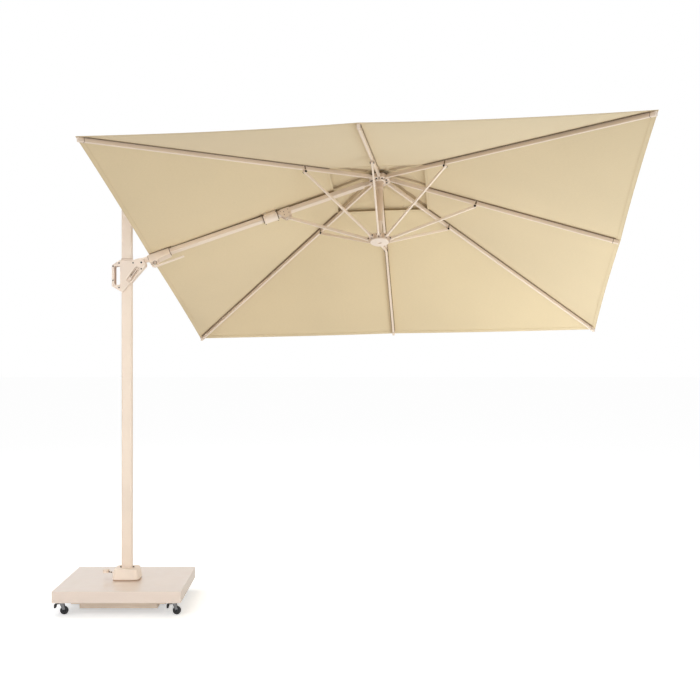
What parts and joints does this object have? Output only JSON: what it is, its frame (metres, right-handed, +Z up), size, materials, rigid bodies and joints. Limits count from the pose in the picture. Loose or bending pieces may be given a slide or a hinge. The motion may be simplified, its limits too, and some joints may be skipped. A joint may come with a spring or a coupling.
{
  "type": "cantilever parasol",
  "caption": "Square cantilever parasol: slider on a turning mast folds and tilts an eight-armed canopy over a wheeled slab base.",
  "frame": {"origin": "on the mast's axis, at floor level under the middle of the base", "axes": "+X from the mast towards the canopy, +Y to the back, +Z up"},
  "size_m": [3.7147, 3.1596, 2.8578],
  "materials": {
    "frame_paint": "powder coat, satin",
    "frame_paint_light": "powder coat, satin",
    "aluminium_paint": "powder coated extrusion",
    "cover_paint": "smooth paint, slight gloss",
    "concrete": "cast",
    "moulding": "fine texture",
    "liner": "smooth",
    "screw_steel": "bead blasted",
    "chrome": "bright",
    "tyre": "smooth tread",
    "canopy_fabric": "woven polyester"
  },
  "bodies": {
    "base": {"base_cover": "cover_paint", "base_weight": "concrete", "base_tray": "frame_paint", "base_arms": "frame_paint", "caster_plates": "chrome", "foot_ring": "liner"},
    "mast": {"foot_housing": "moulding", "foot_fasteners": "screw_steel", "mast_tube": "aluminium_paint", "mast_head": "moulding", "stay_bolt": "screw_steel"},
    "pedal": {"foot_pedal": "aluminium_paint"},
    "slider": {"slider_front": "moulding", "slider_back": "moulding", "slider_bush": "moulding", "slider_screws": "screw_steel"},
    "slider_lever": {"slider_lever": "moulding"},
    "knuckle": {"knuckle": "aluminium_paint"},
    "boom": {"boom_sleeve": "moulding", "trigger_pin": "screw_steel", "boom_tube": "aluminium_paint", "boom_tongue": "aluminium_paint", "boom_journal": "moulding", "boom_strut_bracket": "aluminium_paint"},
    "trigger": {"trigger": "moulding"},
    "boom_collar": {"boom_collar": "aluminium_paint"},
    "stay": {"stay": "aluminium_paint"},
    "crown": {"crown_hub": "moulding", "crown_pins": "screw_steel", "crown_cap": "moulding", "post": "aluminium_paint", "canopy": "canopy_fabric", "vent_cap": "canopy_fabric"},
    "runner": {"runner": "moulding"},
    "rib_right": {"rib_right": "aluminium_paint"},
    "strut_right": {"strut_right": "aluminium_paint"},
    "rib_back_right": {"rib_back_right": "aluminium_paint"},
    "strut_back_right": {"strut_back_right": "aluminium_paint"},
    "rib_back": {"rib_back": "aluminium_paint"},
    "strut_back": {"strut_back": "aluminium_paint"},
    "rib_back_left": {"rib_back_left": "aluminium_paint"},
    "strut_back_left": {"strut_back_left": "aluminium_paint"},
    "strut_boom": {"strut_boom": "aluminium_paint"},
    "rib_front_left": {"rib_front_left": "aluminium_paint"},
    "strut_front_left": {"strut_front_left": "aluminium_paint"},
    "rib_front": {"rib_front": "aluminium_paint"},
    "strut_front": {"strut_front": "aluminium_paint"},
    "rib_front_right": {"rib_front_right": "aluminium_paint"},
    "strut_front_right": {"strut_front_right": "aluminium_paint"},
    "caster_fork_front_left": {"caster_fork_front_left": "chrome"},
    "caster_wheel_front_left": {"caster_wheel_front_left": "tyre"},
    "caster_brake_front_left": {"caster_brake_front_left": "liner"},
    "caster_fork_front_right": {"caster_fork_front_right": "chrome"},
    "caster_wheel_front_right": {"caster_wheel_front_right": "tyre"},
    "caster_brake_front_right": {"caster_brake_front_right": "liner"},
    "caster_fork_back_right": {"caster_fork_back_right": "chrome"},
    "caster_wheel_back_right": {"caster_wheel_back_right": "tyre"},
    "caster_fork_back_left": {"caster_fork_back_left": "chrome"},
    "caster_wheel_back_left": {"caster_wheel_back_left": "tyre"}
  },
  "joints": [
    {"name": "mast_turn", "type": "hinge", "parent": "base", "child": "mast", "pos_m": [0, 0, 0], "axis": [0, 0, 1], "continuous": true},
    {"name": "foot_pedal", "type": "hinge", "parent": "mast", "child": "pedal", "pos_m": [-0.07, 0, 0.19], "axis": [0, -1, 0], "range_deg": [0, 10], "stiffness_Nm_per_rad": 6, "springref_deg": -14.32},
    {"name": "slider_travel", "type": "slide", "parent": "mast", "child": "slider", "axis": [0, 0, 1], "range_m": [-1.33505, 0], "deforming": ["canopy", "vent_cap"]},
    {"name": "slider_lever", "type": "hinge", "parent": "slider", "child": "slider_lever", "pos_m": [0.07261, -0.0383, 2.18323], "axis": [-0.8151, 0, 0.5793], "range_deg": [0, 40]},
    {"name": "boom_lift", "type": "hinge", "parent": "slider", "child": "knuckle", "pos_m": [0.098, 0, 2.2225], "axis": [0, -1, 0], "range_deg": [0, 64.56]},
    {"name": "boom_roll", "type": "hinge", "parent": "knuckle", "child": "boom", "pos_m": [0.09443, 0, 2.2329], "axis": [0.9458, 0, 0.3247], "range_deg": [0, 43]},
    {"name": "tilt_trigger", "type": "hinge", "parent": "boom", "child": "trigger", "pos_m": [0.16955, -0.01942, 2.20656], "axis": [-0.119, -0.9304, 0.3466], "range_deg": [0, 6], "stiffness_Nm_per_rad": 8, "springref_deg": -8.59},
    {"name": "collar_turn", "type": "hinge", "parent": "boom", "child": "boom_collar", "pos_m": [0.09443, 0, 2.2329], "axis": [0.9458, 0, 0.3247], "range_deg": [-43, 0]},
    {"name": "stay_swing", "type": "hinge", "parent": "mast", "child": "stay", "pos_m": [0, 0, 2.7], "axis": [0, 1, 0], "range_deg": [0, 75.27]},
    {"name": "crown_level", "type": "hinge", "parent": "boom", "child": "crown", "pos_m": [1.599, 0, 2.7495], "axis": [-0.119, -0.9304, 0.3466], "range_deg": [-64.56, 0]},
    {"name": "runner_slide", "type": "slide", "parent": "crown", "child": "runner", "axis": [0.0214, 0.3466, 0.9378], "range_m": [-0.74842, 0]},
    {"name": "rib_right_fold", "type": "hinge", "parent": "crown", "child": "rib_right", "pos_m": [1.7086, -0.00655, 2.76956], "axis": [0.119, 0.9304, -0.3466], "range_deg": [0, 64.03]},
    {"name": "strut_right_fold", "type": "hinge", "parent": "rib_right", "child": "strut_right", "pos_m": [2.25758, -0.14997, 2.5731], "axis": [0.119, 0.9304, -0.3466], "range_deg": [-130.23, 0]},
    {"name": "rib_back_right_fold", "type": "hinge", "parent": "crown", "child": "rib_back_right", "pos_m": [1.69723, 0.03156, 2.75574], "axis": [-0.6178, 0.7421, -0.2602], "range_deg": [0, 69.47]},
    {"name": "strut_back_right_fold", "type": "hinge", "parent": "rib_back_right", "child": "strut_back_right", "pos_m": [2.13026, 0.29363, 2.47507], "axis": [-0.6178, 0.7421, -0.2602], "range_deg": [-130.65, 0]},
    {"name": "rib_back_fold", "type": "hinge", "parent": "crown", "child": "rib_back", "pos_m": [1.66055, 0.05117, 2.74932], "axis": [-0.9927, 0.119, -0.0214], "range_deg": [0, 64.03]},
    {"name": "strut_back_fold", "type": "hinge", "parent": "rib_back", "child": "strut_back", "pos_m": [1.72219, 0.49316, 2.34758], "axis": [-0.9927, 0.119, -0.0214], "range_deg": [-130.23, 0]},
    {"name": "rib_back_left_fold", "type": "hinge", "parent": "crown", "child": "rib_back_left", "pos_m": [1.62002, 0.04081, 2.75407], "axis": [-0.7861, -0.5737, 0.23], "range_deg": [0, 69.47]},
    {"name": "strut_back_left_fold", "type": "hinge", "parent": "rib_back_left", "child": "strut_back_left", "pos_m": [1.27349, 0.39635, 2.45663], "axis": [-0.7861, -0.5737, 0.23], "range_deg": [-130.65, 0]},
    {"name": "strut_boom_fold", "type": "hinge", "parent": "boom", "child": "strut_boom", "pos_m": [1.04805, -0.01503, 2.52], "axis": [-0.119, -0.9304, 0.3466], "range_deg": [-134.95, 0]},
    {"name": "rib_front_left_fold", "type": "hinge", "parent": "crown", "child": "rib_front_left", "pos_m": [1.61077, -0.03156, 2.78104], "axis": [0.6178, -0.7421, 0.2602], "range_deg": [0, 69.47]},
    {"name": "strut_front_left_fold", "type": "hinge", "parent": "rib_front_left", "child": "strut_front_left", "pos_m": [1.17076, -0.4067, 2.75581], "axis": [0.6178, -0.7421, 0.2602], "range_deg": [-130.65, 0]},
    {"name": "rib_front_fold", "type": "hinge", "parent": "crown", "child": "rib_front", "pos_m": [1.64745, -0.05117, 2.78745], "axis": [0.9927, -0.119, 0.0214], "range_deg": [0, 64.03]},
    {"name": "strut_front_fold", "type": "hinge", "parent": "rib_front", "child": "strut_front", "pos_m": [1.57631, -0.64721, 2.77243], "axis": [0.9927, -0.119, 0.0214], "range_deg": [-130.23, 0]},
    {"name": "rib_front_right_fold", "type": "hinge", "parent": "crown", "child": "rib_front_right", "pos_m": [1.68798, -0.04081, 2.7827], "axis": [0.7861, 0.5737, -0.23], "range_deg": [0, 69.47]},
    {"name": "strut_front_right_fold", "type": "hinge", "parent": "rib_front_right", "child": "strut_front_right", "pos_m": [2.02754, -0.50942, 2.77426], "axis": [0.7861, 0.5737, -0.23], "range_deg": [-130.65, 0]},
    {"name": "front_left_swivel", "type": "hinge", "parent": "base", "child": "caster_fork_front_left", "pos_m": [-0.352, -0.336, 0], "axis": [0, 0, 1], "continuous": true},
    {"name": "front_left_roll", "type": "hinge", "parent": "caster_fork_front_left", "child": "caster_wheel_front_left", "pos_m": [-0.335, -0.336, 0.026], "axis": [0, 1, 0], "continuous": true},
    {"name": "front_left_brake", "type": "hinge", "parent": "caster_fork_front_left", "child": "caster_brake_front_left", "pos_m": [-0.3685, -0.336, 0.066], "axis": [0, -1, 0], "range_deg": [0, 12]},
    {"name": "front_right_swivel", "type": "hinge", "parent": "base", "child": "caster_fork_front_right", "pos_m": [0.352, -0.336, 0], "axis": [0, 0, 1], "continuous": true},
    {"name": "front_right_roll", "type": "hinge", "parent": "caster_fork_front_right", "child": "caster_wheel_front_right", "pos_m": [0.369, -0.336, 0.026], "axis": [0, 1, 0], "continuous": true},
    {"name": "front_right_brake", "type": "hinge", "parent": "caster_fork_front_right", "child": "caster_brake_front_right", "pos_m": [0.3355, -0.336, 0.066], "axis": [0, -1, 0], "range_deg": [0, 12]},
    {"name": "back_right_swivel", "type": "hinge", "parent": "base", "child": "caster_fork_back_right", "pos_m": [0.352, 0.336, 0], "axis": [0, 0, 1], "continuous": true},
    {"name": "back_right_roll", "type": "hinge", "parent": "caster_fork_back_right", "child": "caster_wheel_back_right", "pos_m": [0.335, 0.336, 0.026], "axis": [0, 1, 0], "continuous": true},
    {"name": "back_left_swivel", "type": "hinge", "parent": "base", "child": "caster_fork_back_left", "pos_m": [-0.352, 0.336, 0], "axis": [0, 0, 1], "continuous": true},
    {"name": "back_left_roll", "type": "hinge", "parent": "caster_fork_back_left", "child": "caster_wheel_back_left", "pos_m": [-0.369, 0.336, 0.026], "axis": [0, 1, 0], "continuous": true}
  ],
  "couplings": [
    {"joint": "boom_lift", "follows": "slider_travel", "rad_per_m": -0.84387},
    {"joint": "collar_turn", "follows": "boom_roll", "ratio": -1},
    {"joint": "stay_swing", "follows": "slider_travel", "rad_per_m": -0.98387},
    {"joint": "crown_level", "follows": "slider_travel", "rad_per_m": 0.84387},
    {"joint": "runner_slide", "follows": "slider_travel", "ratio": 0.56058},
    {"joint": "rib_right_fold", "follows": "slider_travel", "rad_per_m": -0.83698},
    {"joint": "strut_right_fold", "follows": "slider_travel", "rad_per_m": 1.7024},
    {"joint": "rib_back_right_fold", "follows": "slider_travel", "rad_per_m": -0.90805},
    {"joint": "strut_back_right_fold", "follows": "slider_travel", "rad_per_m": 1.7079},
    {"joint": "rib_back_fold", "follows": "slider_travel", "rad_per_m": -0.83698},
    {"joint": "strut_back_fold", "follows": "slider_travel", "rad_per_m": 1.7024},
    {"joint": "rib_back_left_fold", "follows": "slider_travel", "rad_per_m": -0.90805},
    {"joint": "strut_back_left_fold", "follows": "slider_travel", "rad_per_m": 1.7079},
    {"joint": "strut_boom_fold", "follows": "slider_travel", "rad_per_m": 1.7641},
    {"joint": "rib_front_left_fold", "follows": "slider_travel", "rad_per_m": -0.90805},
    {"joint": "strut_front_left_fold", "follows": "slider_travel", "rad_per_m": 1.7079},
    {"joint": "rib_front_fold", "follows": "slider_travel", "rad_per_m": -0.83698},
    {"joint": "strut_front_fold", "follows": "slider_travel", "rad_per_m": 1.7024},
    {"joint": "rib_front_right_fold", "follows": "slider_travel", "rad_per_m": -0.90805},
    {"joint": "strut_front_right_fold", "follows": "slider_travel", "rad_per_m": 1.7079}
  ]
}
